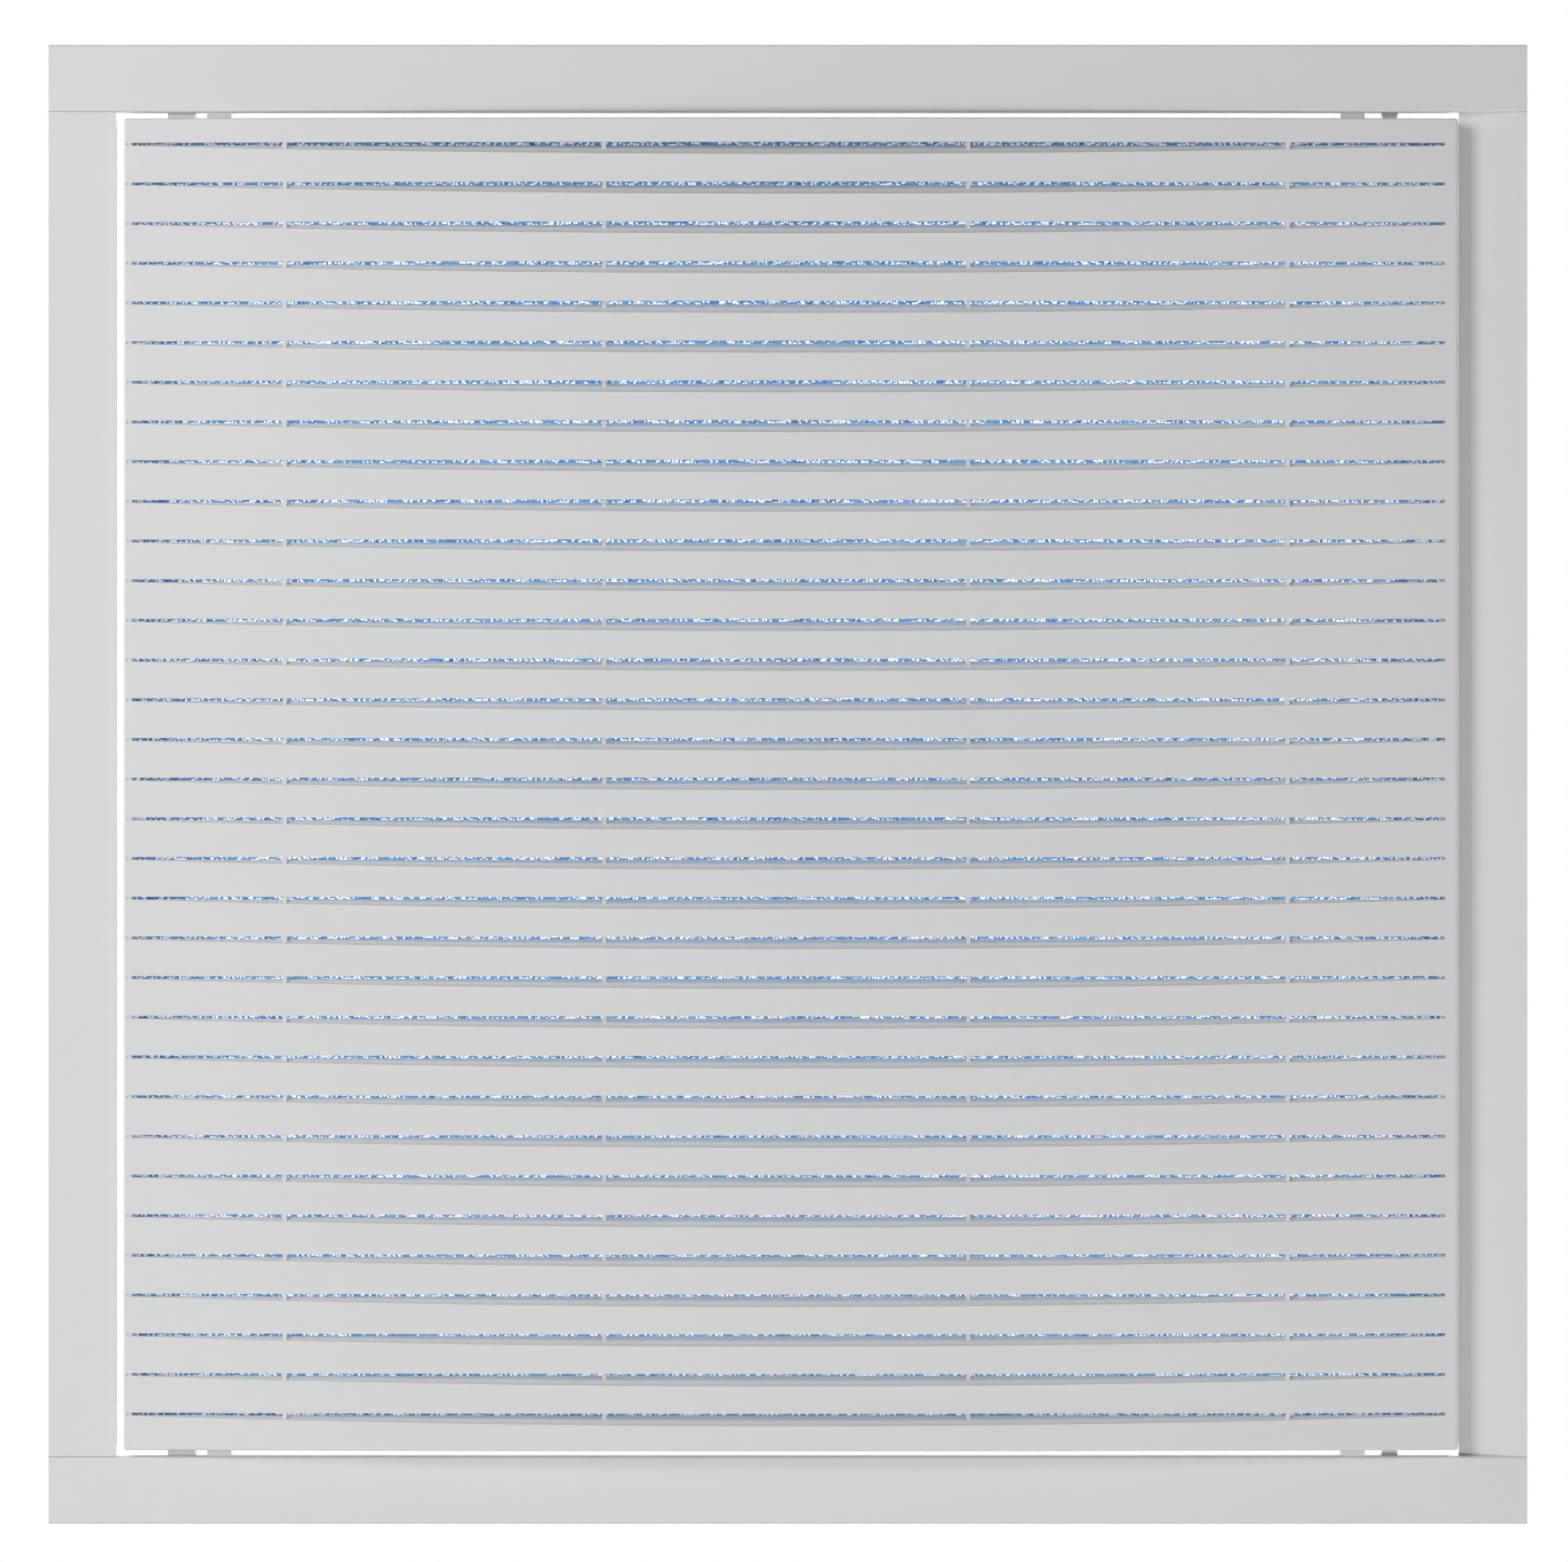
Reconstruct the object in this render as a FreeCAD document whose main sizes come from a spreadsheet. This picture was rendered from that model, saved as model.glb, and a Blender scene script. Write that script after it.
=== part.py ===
"""Ventilation grille with filter, 300 mm square, white moulded plastic.

A mounting frame rests on the wall with its skirt and reaches into the duct with its collar. A slatted
panel fills the frame's opening. It is a tray: the front is bowed outwards from side to side and cut by
33 slits, and the filter mat lies behind the slats, kept in by a clipped grid. The panel swings out on
two pins at its left edge. Seen from the front, X is to the right, Z is up and the front faces -Y.
The origin is the centre of the opening on the wall's surface. Lengths are in millimetres.
"""
import FreeCAD, Part
import Sketcher
import math
import os
import re

# Driving dimensions

FRAME_SIZES = {
    "frame_width": 300.0,
    "frame_height": 300.0,
    "bar_width": 13.7,
    "frame_depth": 9.0,
    "skin_thickness": 1.8,
    "skirt_thickness": 2.0,
    "right_bar_fall": 2.2,
    "lip_depth": 2.6,
    "lip_thickness": 1.6,
    "bar_inner_radius": 0.6,
    "bar_outer_radius": 0.5,
    "frame_corner_radius": 0.6,
    "collar_setback": 4.7,
    "collar_thickness": 2.0,
    "collar_reach": 20.0,
    "bar_rib_thickness": 1.2,
    "bar_rib_pitch": 40.0,
    "bar_rib_relief": 1.0,
    "screw_spacing": 180.0,
    "screw_hole_diameter": 4.2,
    "screw_setback": 11.0,
}

GUIDE_SIZES = {
    "ear_width": 5.5,
    "ear_depth": 5.2,
    "ear_gap": 0.3,
    "guide_width": 4.9,
    "guide_depth": 12.0,
    "guide_setback": 0.6,
    "guide_gap": 0.2,
    "left_guide_inset": 20.9,
    "right_guide_inset": 21.7,
    "catch_inset": 14.05,
    "catch_root_width": 3.4,
    "catch_tip_width": 2.7,
    "catch_depth": 3.0,
    "catch_setback": 2.2,
}

PANEL_SIZES = {
    "hinge_gap": 1.68,
    "latch_gap": 0.52,
    "end_gap": 1.4,
    "panel_proud": 1.5,
    "panel_bow": 3.0,
    "front_thickness": 1.4,
    "left_rail": 1.65,
    "right_rail": 2.6,
    "right_overhang": 1.0,
    "tray_wall": 1.6,
    "tray_depth": 18.5,
    "panel_corner_radius": 0.6,
    "panel_edge_radius": 0.4,
    "slat_pitch": 8.04,
    "bottom_rail": 7.6,
    "top_rail_least": 4.0,
    "slit_opening": 0.58,
    "slat_slope": 33.0,
    "slat_thickness": 1.3,
    "groove_depth": 0.2,
    "groove_margin": 0.1,
    "rib_thickness": 0.8,
    "inner_rib_share": 0.1385,
    "outer_rib_share": 0.3816,
    "rib_shift": 0.45,
    "rib_lead": 1.1,
    "rib_reach": 4.0,
    "pivot_inset": 11.5,
    "pivot_setback": 5.3,
    "pin_diameter": 3.0,
    "pin_length": 2.8,
    "pin_play": 0.05,
    "pin_end_play": 0.4,
}

FILTER_SIZES = {
    "mat_thickness": 10.0,
    "mat_gap": 0.25,
    "retainer_thickness": 2.5,
    "retainer_gap": 0.25,
    "retainer_rail": 8.0,
    "retainer_bar": 5.0,
    "retainer_corner_radius": 3.0,
    "finger_notch_width": 9.0,
    "finger_notch_height": 40.0,
    "hook_bite": 0.8,
    "hook_length": 30.0,
    "hook_depth": 1.1,
    "hook_flat": 0.37,
    "hook_gap": 0.2,
}

# Cutters reach this far past the faces that they open, pads bite this far into what carries them, and
# edges are found to within the last of these
PAST = 1.0
BITE = 0.4
NEAR = 0.001

doc = FreeCAD.newDocument("ventilation_grille_with_filter")
sheet = doc.addObject("Spreadsheet::Sheet", "Sizes")
all_sizes = {**FRAME_SIZES, **GUIDE_SIZES, **PANEL_SIZES, **FILTER_SIZES}
for row, (alias, number) in enumerate(all_sizes.items(), start=1):
    sheet.set(f"A{row}", alias)
    sheet.set(f"B{row}", str(number))
    sheet.setAlias(f"B{row}", alias)
doc.recompute()


# Expressions: plain text with the sheet's names, worked out by the document

def sized(text):
    """Put the sheet's name before each of its aliases in a formula."""
    def full_name(match):
        return "Sizes." + match[0] if match[0] in all_sizes else match[0]
    return "(" + re.sub(r"(?<!\.)\b[a-z_]+\b", full_name, text) + ")"


def value(text):
    """The present value of a formula."""
    return float(sheet.evalExpression(text))


OPENING_WIDTH = sized("frame_width - 2 * bar_width")
OPENING_HEIGHT = sized("frame_height - 2 * bar_width")
COLLAR_WIDTH = sized(f"{OPENING_WIDTH} + 2 * collar_setback")
COLLAR_HEIGHT = sized(f"{OPENING_HEIGHT} + 2 * collar_setback")
PANEL_WIDTH = sized(f"{OPENING_WIDTH} - hinge_gap - latch_gap")
PANEL_HEIGHT = sized(f"{OPENING_HEIGHT} - 2 * end_gap")
PANEL_X = sized("( hinge_gap - latch_gap ) / 2")
PANEL_Y = sized("- ( frame_depth + panel_proud )")
PIVOT_X = sized(f"pivot_inset - {PANEL_WIDTH} / 2")
BOW_RADIUS = sized(f"{PANEL_WIDTH} ^ 2 / ( 8 * panel_bow ) + panel_bow / 2")
TRAY_LEFT = sized(f"left_rail - {PANEL_WIDTH} / 2")
TRAY_RIGHT = sized(f"{PANEL_WIDTH} / 2 - right_rail")
SLIT_LENGTH = f"({TRAY_RIGHT} - {TRAY_LEFT})"
TRAY_HEIGHT = sized(f"{PANEL_HEIGHT} - 2 * tray_wall")
SLIT_COUNT = sized(f"floor( ( {PANEL_HEIGHT} - top_rail_least - bottom_rail ) / slat_pitch ) + 1")
LOWEST_SLIT = sized(f"bottom_rail - {PANEL_HEIGHT} / 2")
RETAINER_FRONT = sized("rib_reach + mat_thickness + 2 * mat_gap")


# Modelling helpers

def new_body(name, x="0", y="0"):
    """A body named after the piece, placed at a point of the front view's plan."""
    body = doc.addObject("PartDesign::Body", name)
    body.Label = name
    body.setExpression("Placement.Base.x", x)
    body.setExpression("Placement.Base.y", y)
    return body


def origin_feature(body, role):
    """One of the body's own origin planes or axes."""
    return next(feature for feature in body.Origin.OriginFeatures if feature.Role == role)


def new_sketch(body, name, plane, offset="0"):
    """A sketch on an origin plane, moved along the plane's normal."""
    sketch = body.newObject("Sketcher::SketchObject", name)
    sketch.AttachmentSupport = [(origin_feature(body, plane), "")]
    sketch.MapMode = "FlatFace"
    sketch.setExpression("AttachmentOffset.Base.z", offset)
    return sketch


def bind(sketch, constraint, text):
    """Add a dimension and tie it to its formula."""
    index = sketch.addConstraint(constraint)
    sketch.setExpression(f"Constraints[{index}]", text)


def place_point(sketch, geometry, point, x, y):
    """Dimension a point of a sketch from the sketch's origin."""
    bind(sketch, Sketcher.Constraint("DistanceX", -1, 1, geometry, point, value(x)), x)
    bind(sketch, Sketcher.Constraint("DistanceY", -1, 1, geometry, point, value(y)), y)


def arc_between(start, end, radius, centre_on_left):
    """The shorter arc from start to end, with its centre on the given side of that way."""
    chord = end - start
    left = FreeCAD.Vector(-chord.y, chord.x, 0).normalize()
    if not centre_on_left:
        left = left * -1
    centre = (start + end) * 0.5 + left * math.sqrt(radius ** 2 - (chord.Length / 2) ** 2)
    first, last = (start, end) if centre_on_left else (end, start)
    angles = [math.atan2(point.y - centre.y, point.x - centre.x) for point in (first, last)]
    return Part.ArcOfCircle(Part.Circle(centre, FreeCAD.Vector(0, 0, 1), radius), *angles)


def outline(sketch, corners, arcs=None):
    """A closed outline through dimensioned corners.

    arcs gives, for the edge that starts at a corner, the arc's radius and whether its centre lies to
    the left of the way along the outline. All other edges are straight.
    """
    arcs = arcs or {}
    points = [FreeCAD.Vector(value(x), value(y), 0) for x, y in corners]
    base = sketch.GeometryCount
    ends = []
    for index, start in enumerate(points):
        end = points[(index + 1) % len(points)]
        if index in arcs:
            radius, centre_on_left = arcs[index]
            geometry = sketch.addGeometry(arc_between(start, end, value(radius), centre_on_left), False)
            bind(sketch, Sketcher.Constraint("Radius", geometry, value(radius)), radius)
            ends.append((1, 2) if centre_on_left else (2, 1))
        else:
            sketch.addGeometry(Part.LineSegment(start, end), False)
            ends.append((1, 2))
    for index, (x, y) in enumerate(corners):
        before = (index - 1) % len(points)
        sketch.addConstraint(Sketcher.Constraint(
            "Coincident", base + before, ends[before][1], base + index, ends[index][0]))
        place_point(sketch, base + index, ends[index][0], x, y)


def rectangle(sketch, left, right, bottom, top, radius=None):
    """An upright rectangle with its sides at dimensioned places, with round corners if asked."""
    if radius is None:
        outline(sketch, [(left, bottom), (right, bottom), (right, top), (left, top)])
        return
    corners = [
        (f"({left} + {radius})", bottom), (f"({right} - {radius})", bottom),
        (right, f"({bottom} + {radius})"), (right, f"({top} - {radius})"),
        (f"({right} - {radius})", top), (f"({left} + {radius})", top),
        (left, f"({top} - {radius})"), (left, f"({bottom} + {radius})"),
    ]
    outline(sketch, corners, {edge: (radius, True) for edge in (1, 3, 5, 7)})


def centred_rectangle(sketch, width, height, radius=None):
    """A rectangle round the sketch's origin."""
    rectangle(sketch, f"(-{width} / 2)", f"({width} / 2)", f"(-{height} / 2)", f"({height} / 2)", radius)


def circle(sketch, x, y, diameter):
    """A full circle at a dimensioned place."""
    centre = FreeCAD.Vector(value(x), value(y), 0)
    geometry = sketch.addGeometry(
        Part.Circle(centre, FreeCAD.Vector(0, 0, 1), value(diameter) / 2), False)
    bind(sketch, Sketcher.Constraint("Diameter", geometry, value(diameter)), diameter)
    place_point(sketch, geometry, 3, x, y)


def extrude(kind, body, name, sketch, length, symmetric=False, backwards=False):
    """A Pad or Pocket of a sketch."""
    feature = body.newObject("PartDesign::" + kind, name)
    feature.Profile = sketch
    feature.SideType = "Symmetric" if symmetric else "One side"
    feature.Reversed = backwards
    feature.setExpression("Length", length)
    sketch.Visibility = False
    return feature


def mirrored(body, name, features, plane):
    """The same features again on the other side of an origin plane."""
    feature = body.newObject("PartDesign::Mirrored", name)
    feature.Originals = features
    feature.MirrorPlane = (origin_feature(body, plane), [""])
    body.Tip = feature
    return feature


def in_rows(body, name, features, axis, pitch, count, second=None):
    """The same features repeated along an axis, and again along a second axis if one is given."""
    feature = body.newObject("PartDesign::LinearPattern", name)
    feature.Originals = features
    feature.Direction = (origin_feature(body, axis), [""])
    feature.Mode = "Spacing"
    feature.setExpression("Offset", pitch)
    feature.setExpression("Occurrences", count)
    if second:
        second_axis, second_pitch = second
        feature.Direction2 = (origin_feature(body, second_axis), [""])
        feature.setExpression("Length2", second_pitch)
        feature.Occurrences2 = 2
    body.Tip = feature
    return feature


# Mounting frame: one moulding

def build_mounting_frame():
    body = new_body("mounting_frame")
    half_width = sized("frame_width / 2")
    half_height = sized("frame_height / 2")
    half_opening_width = f"({OPENING_WIDTH} / 2)"
    half_opening_height = f"({OPENING_HEIGHT} / 2)"
    collar_outer_width = sized(f"{COLLAR_WIDTH} + 2 * collar_thickness")
    collar_outer_height = sized(f"{COLLAR_HEIGHT} + 2 * collar_thickness")
    skin_back = sized("skin_thickness - frame_depth")
    bar_front = sized("- frame_depth")

    # The skirt stands on the wall all round
    skirt = new_sketch(body, "skirt_outline", "XZ_Plane")
    centred_rectangle(skirt, sized("frame_width"), sized("frame_height"), sized("frame_corner_radius"))
    centred_rectangle(skirt, sized("frame_width - 2 * skirt_thickness"),
                      sized("frame_height - 2 * skirt_thickness"))
    extrude("Pad", body, "skirt", skirt, sized("frame_depth - skin_thickness / 2"))

    # Top bar: a flat skin with a turned-back lip at the opening, rounded on both long edges
    bar = new_sketch(body, "bar_section", "YZ_Plane")
    lip_back = sized("lip_depth - frame_depth")
    lip_top = sized(f"{half_opening_height} + lip_thickness")
    inner_radius = sized("bar_inner_radius")
    outer_radius = sized("bar_outer_radius")
    outline(bar, [
        (f"{bar_front} + {inner_radius}", half_opening_height),
        (lip_back, half_opening_height),
        (lip_back, lip_top),
        (skin_back, lip_top),
        (skin_back, half_height),
        (f"{bar_front} + {outer_radius}", half_height),
        (bar_front, f"{half_height} - {outer_radius}"),
        (bar_front, f"{half_opening_height} + {inner_radius}"),
    ], {5: (outer_radius, True), 7: (inner_radius, True)})
    top_bar = extrude("Pad", body, "top_bar", bar, sized("frame_width"), symmetric=True)
    mirrored(body, "bottom_bar", [top_bar], "XY_Plane")

    # Side bars: the left one is level with the others, and the back of the right one slopes
    side = new_sketch(body, "side_bar_sections", "XY_Plane")
    rectangle(side, f"(-{half_width})", f"(-{half_opening_width})", bar_front, skin_back)
    outline(side, [
        (half_opening_width, bar_front),
        (half_width, bar_front),
        (half_width, skin_back),
        (half_opening_width, sized("right_bar_fall + skin_thickness - frame_depth")),
    ])
    extrude("Pad", body, "side_bars", side, OPENING_HEIGHT, symmetric=True)

    # The collar reaches back into the duct
    collar = new_sketch(body, "collar_outline", "XZ_Plane", sized("- collar_reach"))
    centred_rectangle(collar, collar_outer_width, collar_outer_height)
    centred_rectangle(collar, COLLAR_WIDTH, COLLAR_HEIGHT)
    extrude("Pad", body, "collar", collar, sized("collar_reach + frame_depth - skin_thickness / 2"))

    # Ribs stiffen the channel between skirt and collar, clear of the wall
    rib_length = sized(f"frame_depth - skin_thickness + {BITE} - bar_rib_relief")
    for name, along, half_run, across, half_span, collar_span in (
            ("level_bar", "X_Axis", half_width, "Z_Axis", half_height, collar_outer_height),
            ("upright_bar", "Z_Axis", half_height, "X_Axis", half_width, collar_outer_width)):
        near = f"({collar_span} / 2 - {BITE})"
        far = sized(f"{half_span} - skirt_thickness + {BITE}")
        count = sized(f"2 * floor( ( {half_run} - 2 * bar_width ) / bar_rib_pitch ) + 1")
        start = sized(f"- ( {count} - 1 ) / 2 * bar_rib_pitch")
        first = f"({start} - {sized('bar_rib_thickness / 2')})"
        last = f"({start} + {sized('bar_rib_thickness / 2')})"
        rib = new_sketch(body, name + "_rib_outline", "XZ_Plane", sized("bar_rib_relief"))
        if along == "X_Axis":
            rectangle(rib, first, last, f"(-{far})", f"(-{near})")
        else:
            rectangle(rib, f"(-{far})", f"(-{near})", first, last)
        pad = extrude("Pad", body, name + "_rib", rib, rib_length)
        in_rows(body, name + "_ribs", [pad], along, sized("bar_rib_pitch"), count,
                (across, f"({near} + {far})"))

    # The front of the right bar falls back towards the opening, which leaves room for a fingertip
    slope = new_sketch(body, "right_slope_section", "XY_Plane")
    fall_at_cut = sized(f"right_bar_fall * ( 1 + {PAST} / bar_width ) - frame_depth")
    cut_edge = f"({half_opening_width} - {PAST})"
    outline(slope, [
        (half_width, bar_front),
        (cut_edge, fall_at_cut),
        (cut_edge, f"({bar_front} - {PAST})"),
        (half_width, f"({bar_front} - {PAST})"),
    ])
    extrude("Pocket", body, "right_slope", slope, OPENING_HEIGHT, symmetric=True)

    # Hinge ear, two guide lugs and the catch hang from the collar's top wall to the panel's edge
    hangers = []
    collar_inside = f"({COLLAR_HEIGHT} / 2 + {BITE})"
    ear_x = f"({PANEL_X} + {PIVOT_X})"
    ear_y = sized(f"{PANEL_Y} + pivot_setback")
    ear_bottom = sized(f"{PANEL_HEIGHT} / 2 + ear_gap")
    ear = new_sketch(body, "hinge_ear_outline", "XZ_Plane", sized(f"- ( {ear_y} + ear_depth / 2 )"))
    rectangle(ear, sized(f"{ear_x} - ear_width / 2"), sized(f"{ear_x} + ear_width / 2"),
              ear_bottom, collar_inside)
    hangers.append(extrude("Pad", body, "hinge_ear", ear, sized("ear_depth")))

    guide_front = sized("guide_setback - frame_depth")
    guides = new_sketch(body, "guide_outlines", "XZ_Plane", sized(f"- ( {guide_front} + guide_depth )"))
    for centre in (sized(f"left_guide_inset - {half_opening_width}"),
                   sized(f"{half_opening_width} - right_guide_inset")):
        rectangle(guides, sized(f"{centre} - guide_width / 2"), sized(f"{centre} + guide_width / 2"),
                  sized(f"{PANEL_HEIGHT} / 2 + guide_gap"), collar_inside)
    hangers.append(extrude("Pad", body, "guide_lugs", guides, sized("guide_depth")))

    catch_x = sized(f"{half_opening_width} - catch_inset")
    catch_front = sized("catch_setback - frame_depth")
    catch_tip = sized(f"{PANEL_HEIGHT} / 2 + guide_gap")
    catch = new_sketch(body, "catch_outline", "XZ_Plane", sized(f"- ( {catch_front} + catch_depth )"))
    outline(catch, [
        (sized(f"{catch_x} - catch_tip_width / 2"), catch_tip),
        (sized(f"{catch_x} + catch_tip_width / 2"), catch_tip),
        (sized(f"{catch_x} + catch_root_width / 2"), half_opening_height),
        (sized(f"{catch_x} + catch_root_width / 2"), collar_inside),
        (sized(f"{catch_x} - catch_root_width / 2"), collar_inside),
        (sized(f"{catch_x} - catch_root_width / 2"), half_opening_height),
    ])
    hangers.append(extrude("Pad", body, "catch", catch, sized("catch_depth")))

    # The ear's blind hole takes the panel's pin with play all round and at its end
    hole = new_sketch(body, "pivot_hole_outline", "XY_Plane", f"({ear_bottom} - {PAST})")
    circle(hole, ear_x, ear_y, sized("pin_diameter + 2 * pin_play"))
    hole_depth = sized(f"{PAST} + pin_length + pin_end_play - ear_gap")
    hangers.append(extrude("Pocket", body, "pivot_hole", hole, hole_depth, backwards=True))
    mirrored(body, "lower_hangers", hangers, "XY_Plane")

    # Screw holes through the collar's side walls
    holes = new_sketch(body, "screw_hole_outlines", "YZ_Plane")
    for sign in ("", "-"):
        circle(holes, sized("screw_setback"), sized(f"{sign} screw_spacing / 2"),
               sized("screw_hole_diameter"))
    extrude("Pocket", body, "screw_holes", holes, f"({collar_outer_width} + 2 * {PAST})", symmetric=True)
    return body


# Slatted panel: one moulding

def build_slatted_panel():
    body = new_body("slatted_panel", PANEL_X, PANEL_Y)
    left = f"(-{PANEL_WIDTH} / 2)"
    right = f"({PANEL_WIDTH} / 2)"
    top = f"({PANEL_HEIGHT} / 2)"
    front = sized(f"- panel_bow - {PAST}")

    # A block with the tray's walls inside it, still flat in front
    block = new_sketch(body, "block_outline", "XZ_Plane", sized("- tray_depth"))
    centred_rectangle(block, PANEL_WIDTH, PANEL_HEIGHT, sized("panel_corner_radius"))
    extrude("Pad", body, "block", block, sized(f"tray_depth - {front}"))

    hollow = new_sketch(body, "hollow_section", "XY_Plane")
    inner_radius = sized(f"{BOW_RADIUS} - front_thickness")
    bow_centre = sized(f"{BOW_RADIUS} - panel_bow")
    back = sized(f"tray_depth + {PAST}")
    outline(hollow, [
        (TRAY_LEFT, f"({bow_centre} - sqrt({inner_radius} ^ 2 - {TRAY_LEFT} ^ 2))"),
        (TRAY_RIGHT, f"({bow_centre} - sqrt({inner_radius} ^ 2 - {TRAY_RIGHT} ^ 2))"),
        (TRAY_RIGHT, back),
        (TRAY_LEFT, back),
    ], {0: (inner_radius, True)})
    extrude("Pocket", body, "hollow", hollow, TRAY_HEIGHT, symmetric=True)

    # The right wall stands in from the front's edge, which leaves a lip to pull the panel open
    finger = new_sketch(body, "overhang_section", "XY_Plane")
    rectangle(finger, sized(f"{right} - right_overhang"), sized(f"{right} + {PAST}"),
              sized("front_thickness"), back)
    extrude("Pocket", body, "overhang", finger, f"({PANEL_HEIGHT} + 2 * {PAST})", symmetric=True)

    # Hooks on the tray's walls hold the retainer
    hook_front = sized(f"{RETAINER_FRONT} + retainer_thickness + hook_gap")
    hook_end = sized(f"{hook_front} + hook_flat")
    hook_back = sized(f"{hook_front} + hook_depth")
    wall = f"({TRAY_HEIGHT} / 2)"
    level = new_sketch(body, "level_hook_sections", "YZ_Plane")
    for sign in ("", "-"):
        face = f"({sign}({wall} + {BITE}))"
        tip = sized(f"{sign} ( {wall} - hook_bite )")
        section = [(hook_front, face), (hook_front, tip), (hook_end, tip),
                   (hook_back, f"({sign}{wall})"), (hook_back, face)]
        outline(level, section if sign == "" else section[::-1])
    extrude("Pad", body, "level_hooks", level, sized("hook_length"), symmetric=True)

    upright = new_sketch(body, "upright_hook_sections", "XY_Plane")
    for wall_x, inwards in ((TRAY_LEFT, "+"), (TRAY_RIGHT, "-")):
        outwards = "-" if inwards == "+" else "+"
        face = f"({wall_x} {outwards} {BITE})"
        tip = sized(f"{wall_x} {inwards} hook_bite")
        section = [(face, hook_front), (tip, hook_front), (tip, hook_end),
                   (wall_x, hook_back), (face, hook_back)]
        outline(upright, section)
    extrude("Pad", body, "upright_hooks", upright, sized("hook_length"), symmetric=True)

    # Pins on the top and bottom walls
    pin = new_sketch(body, "pin_outline", "XY_Plane", f"({top} - {BITE})")
    circle(pin, PIVOT_X, sized("pivot_setback"), sized("pin_diameter"))
    top_pin = extrude("Pad", body, "top_pin", pin, sized(f"pin_length + {BITE}"))
    mirrored(body, "bottom_pin", [top_pin], "XY_Plane")

    # Upright ribs behind the front, which the slits will cut through
    rib_centre = sized(f"( {TRAY_LEFT} + {TRAY_RIGHT} ) / 2 - rib_shift")
    rib_places = [sized(f"{rib_centre} {sign} {share} * {SLIT_LENGTH}")
                  for share in ("inner_rib_share", "outer_rib_share") for sign in ("-", "+")]
    webs = new_sketch(body, "rib_web_sections", "XY_Plane")
    for place in rib_places:
        skin_middle = sized(f"front_thickness / 2 - panel_bow * ( 1 - ( 2 * {place} / {PANEL_WIDTH} ) ^ 2 )")
        rectangle(webs, sized(f"{place} - rib_thickness / 2"), sized(f"{place} + rib_thickness / 2"),
                  skin_middle, sized("rib_reach"))
    extrude("Pad", body, "rib_webs", webs, f"({TRAY_HEIGHT} + 2 * {BITE})", symmetric=True)

    # One slat's sloped top, and the slit above it. The lowest slit is drawn and repeated upwards
    rise = "tan( slat_slope * 1 deg )"
    lip_top = sized(f"{LOWEST_SLIT} - slit_opening")
    lip_fall = sized(f"( {front} ) * {rise}")
    lip_height = sized("slat_thickness / cos( slat_slope * 1 deg )")
    slat = new_sketch(body, "slat_section", "YZ_Plane", f"({TRAY_LEFT} - {BITE})")
    outline(slat, [
        (front, f"({lip_top} + {lip_fall} - {lip_height})"),
        ("0", f"({lip_top} - {lip_height})"),
        ("0", lip_top),
        (front, f"({lip_top} + {lip_fall})"),
    ])
    slat_top = extrude("Pad", body, "slat_top", slat, f"({SLIT_LENGTH} + 2 * {BITE})")

    slit = new_sketch(body, "slit_section", "YZ_Plane", TRAY_RIGHT)
    slit_back = sized(f"front_thickness + {PAST}")
    far_front = f"({front} - {PAST})"
    outline(slit, [
        (far_front, f"({lip_top} + {sized(f'{far_front} * {rise}')})"),
        ("0", lip_top),
        (slit_back, lip_top),
        (slit_back, LOWEST_SLIT),
        (far_front, LOWEST_SLIT),
    ])
    slit_cut = extrude("Pocket", body, "slit", slit, SLIT_LENGTH)

    groove = new_sketch(body, "groove_section", "YZ_Plane", f"({TRAY_LEFT} + {BITE})")
    rectangle(groove, far_front, sized("groove_depth"), lip_top, LOWEST_SLIT)
    groove_cut = extrude("Pocket", body, "groove", groove,
                         sized(f"left_rail - panel_edge_radius - groove_margin + {BITE}"))
    in_rows(body, "slats_and_slits", [slat_top, slit_cut, groove_cut], "Z_Axis",
            sized("slat_pitch"), SLIT_COUNT)

    # The ribs bridge the slits with their fronts set back
    bridges = new_sketch(body, "rib_bridge_sections", "XY_Plane")
    for place in rib_places:
        rectangle(bridges, sized(f"{place} - rib_thickness / 2"), sized(f"{place} + rib_thickness / 2"),
                  sized("- rib_lead"), sized("rib_reach"))
    extrude("Pad", body, "rib_bridges", bridges, f"({TRAY_HEIGHT} + 2 * {BITE})", symmetric=True)

    # The bow of the front is cut through rails, slats, slopes and ribs in one sweep
    bow = new_sketch(body, "bow_section", "XY_Plane")
    outline(bow, [
        (left, "0"),
        (right, "0"),
        (sized(f"{right} + {PAST}"), "0"),
        (sized(f"{right} + {PAST}"), far_front),
        (sized(f"{left} - {PAST}"), far_front),
        (sized(f"{left} - {PAST}"), "0"),
    ], {0: (BOW_RADIUS, True)})
    extrude("Pocket", body, "bow", bow, f"({PANEL_HEIGHT} + 2 * {PAST})", symmetric=True)

    doc.recompute()
    round_front_edges(body)
    return body


def round_front_edges(body):
    """Break the sharp edges round the panel's front."""
    reach = value(PANEL_WIDTH) / 2
    rise = value(PANEL_HEIGHT) / 2
    unrounded = body.Tip
    names = []
    for index, edge in enumerate(unrounded.Shape.Edges, start=1):
        box = edge.BoundBox
        outermost = max(-box.XMin, box.XMax) > reach - NEAR or max(-box.ZMin, box.ZMax) > rise - NEAR
        if outermost and box.YMax < NEAR:
            names.append(f"Edge{index}")
    fillet = body.newObject("PartDesign::Fillet", "front_edges")
    fillet.Base = (unrounded, names)
    fillet.setExpression("Radius", sized("panel_edge_radius"))


# Filter mat: cut from fibre fleece, loose in the tray

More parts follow.
